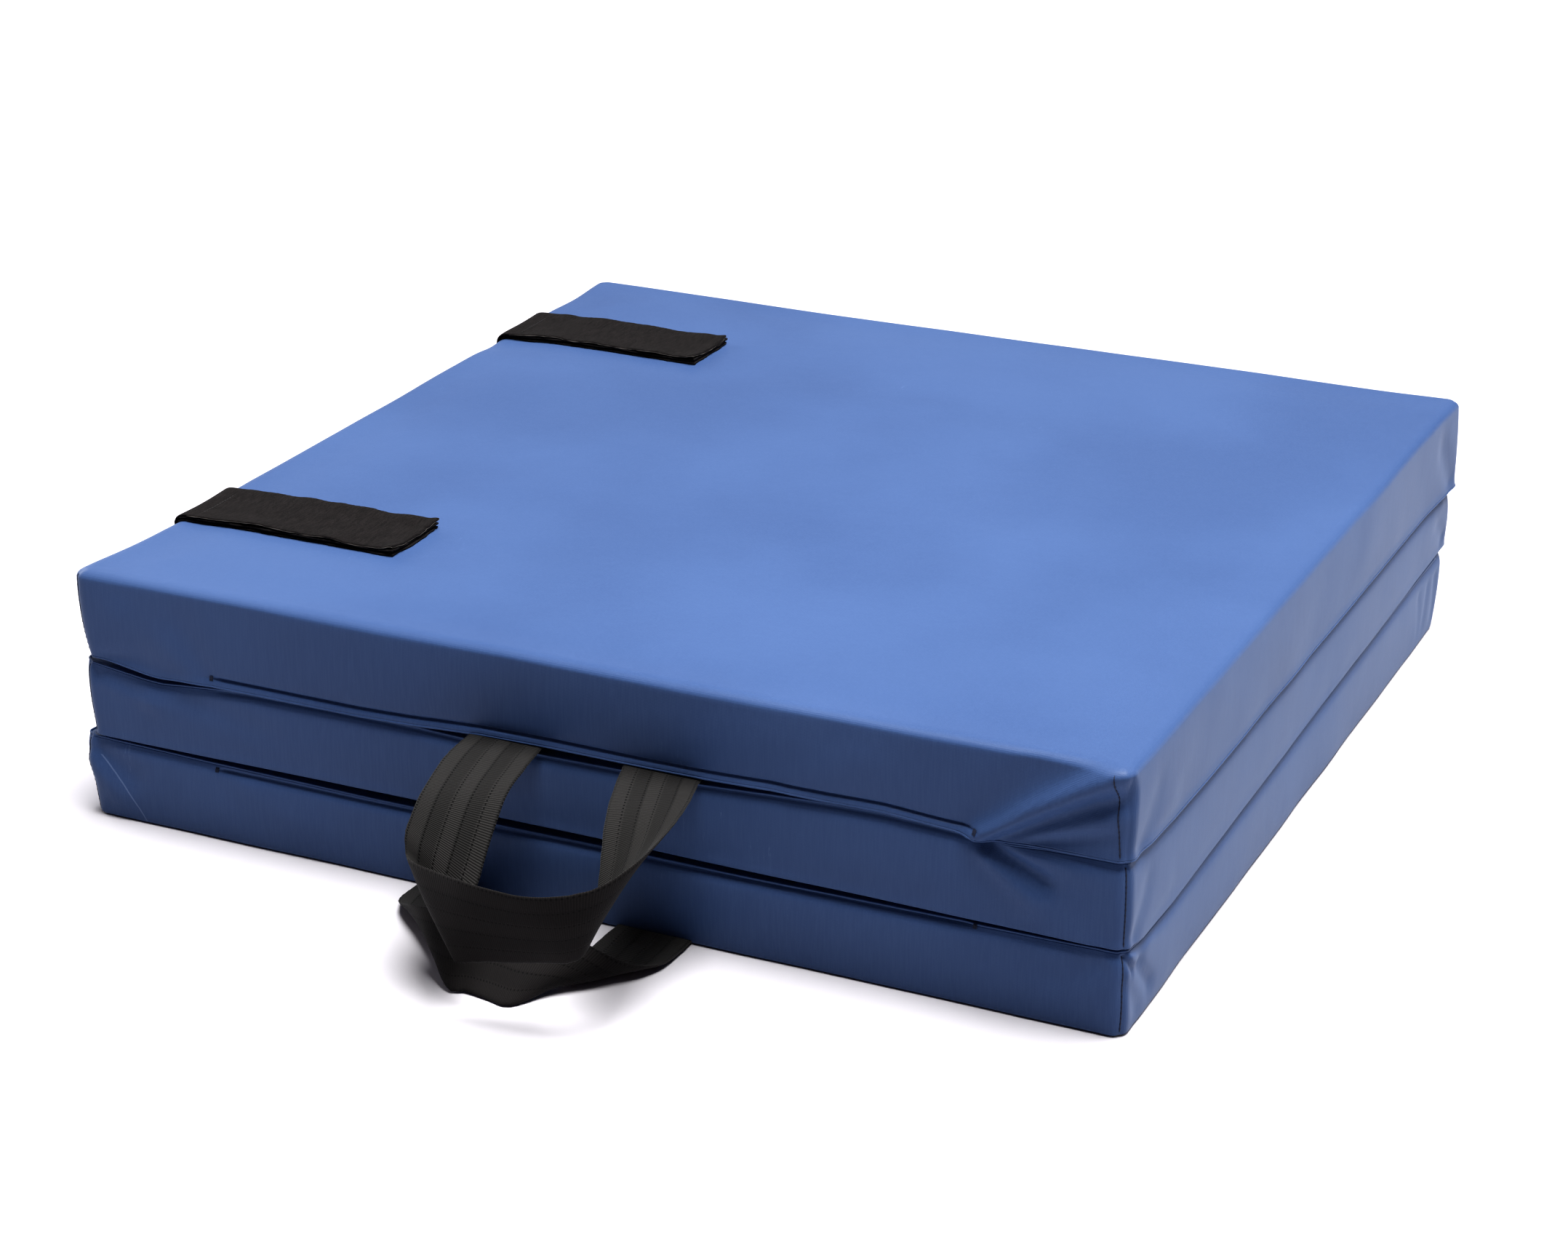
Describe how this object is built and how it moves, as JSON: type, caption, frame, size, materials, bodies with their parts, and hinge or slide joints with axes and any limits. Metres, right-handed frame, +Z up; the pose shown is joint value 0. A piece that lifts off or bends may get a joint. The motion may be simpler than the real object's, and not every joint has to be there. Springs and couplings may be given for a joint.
{
  "type": "folding gym mat",
  "caption": "Vinyl-covered foam exercise mat folded in a Z, with zipped covers, webbing carrying handles and hook-and-loop tapes that join it to another mat.",
  "frame": {"origin": "centre of the underside of the bottom panel, with the mat folded", "axes": "+X to the right along the front side, +Y to the back, away from the handles, +Z up through the stack; the fold lines run along Y"},
  "size_m": [0.6098, 0.7288, 0.1513],
  "materials": {
    "vinyl_blue": "coated vinyl cloth, soft sheen",
    "foam": "matte closed-cell foam",
    "webbing_black": "ribbed webbing",
    "hook_loop_black": "matte hook-and-loop tape",
    "thread_dark": "sewing thread",
    "zip_blue": "woven zip tape and nylon coil",
    "zip_metal": "painted zip slider"
  },
  "bodies": {
    "panel_bottom": {"cover_shell_bottom": "vinyl_blue", "cover_sheet_bottom": "vinyl_blue", "foam_core_bottom": "foam", "corner_stitching_bottom": "thread_dark", "zip_tape_bottom": "zip_blue", "hinge_strip_right_bottom": "vinyl_blue", "handle_lower_ends": "webbing_black", "handle_lower_stitching": "thread_dark"},
    "panel_middle": {"cover_shell_middle": "vinyl_blue", "cover_sheet_middle": "vinyl_blue", "foam_core_middle": "foam", "corner_stitching_middle": "thread_dark", "zip_tape_middle": "zip_blue", "hinge_strip_right_middle": "vinyl_blue", "hinge_strip_left_middle": "vinyl_blue"},
    "panel_top": {"cover_shell_top": "vinyl_blue", "cover_sheet_top": "vinyl_blue", "foam_core_top": "foam", "corner_stitching_top": "thread_dark", "zip_tape_top": "zip_blue", "hinge_strip_left_top": "vinyl_blue", "handle_upper_ends": "webbing_black", "handle_upper_stitching": "thread_dark", "loop_strip_top_front": "hook_loop_black", "loop_strip_top_back": "hook_loop_black", "flap_root_front": "hook_loop_black", "flap_root_back": "hook_loop_black"},
    "handle_upper": {"handle_upper_loop": "webbing_black"},
    "handle_lower": {"handle_lower_loop": "webbing_black"},
    "flap_front": {"flap_hook_front": "hook_loop_black", "flap_outer_front": "hook_loop_black", "flap_stitching_front": "thread_dark"},
    "flap_back": {"flap_hook_back": "hook_loop_black", "flap_outer_back": "hook_loop_black", "flap_stitching_back": "thread_dark"},
    "zip_slider_bottom": {"zip_slider_bottom": "zip_metal", "zip_pull_bottom": "zip_metal"},
    "zip_slider_middle": {"zip_slider_middle": "zip_metal", "zip_pull_middle": "zip_metal"},
    "zip_slider_top": {"zip_slider_top": "zip_metal", "zip_pull_top": "zip_metal"}
  },
  "joints": [
    {"name": "fold_middle", "type": "hinge", "parent": "panel_bottom", "child": "panel_middle", "pos_m": [0.305, 0, 0.0476], "axis": [0, 1, 0], "range_deg": [0, 180]},
    {"name": "fold_top", "type": "hinge", "parent": "panel_middle", "child": "panel_top", "pos_m": [-0.305, 0, 0.0962], "axis": [0, -1, 0], "range_deg": [0, 180]},
    {"name": "flap_front_peel", "type": "hinge", "parent": "panel_top", "child": "flap_front", "pos_m": [-0.299, -0.191, 0.149], "axis": [0, -1, 0], "range_deg": [0, 175]},
    {"name": "flap_back_peel", "type": "hinge", "parent": "panel_top", "child": "flap_back", "pos_m": [-0.299, 0.185, 0.149], "axis": [0, -1, 0], "range_deg": [0, 175]},
    {"name": "handle_upper_swing", "type": "hinge", "parent": "panel_top", "child": "handle_upper", "pos_m": [0.005, -0.3072, 0.0965], "axis": [-1, 0, 0], "range_deg": [0, 85]},
    {"name": "handle_lower_swing", "type": "hinge", "parent": "panel_bottom", "child": "handle_lower", "pos_m": [-0.0145, -0.3072, 0.0017], "axis": [-1, 0, 0], "range_deg": [0, 60]},
    {"name": "zip_bottom_slide", "type": "slide", "parent": "panel_bottom", "child": "zip_slider_bottom", "axis": [1, 0, 0], "range_m": [-0.43, 0]},
    {"name": "zip_middle_slide", "type": "slide", "parent": "panel_middle", "child": "zip_slider_middle", "axis": [1, 0, 0], "range_m": [-0.43, 0]},
    {"name": "zip_top_slide", "type": "slide", "parent": "panel_top", "child": "zip_slider_top", "axis": [1, 0, 0], "range_m": [-0.43, 0]}
  ]
}
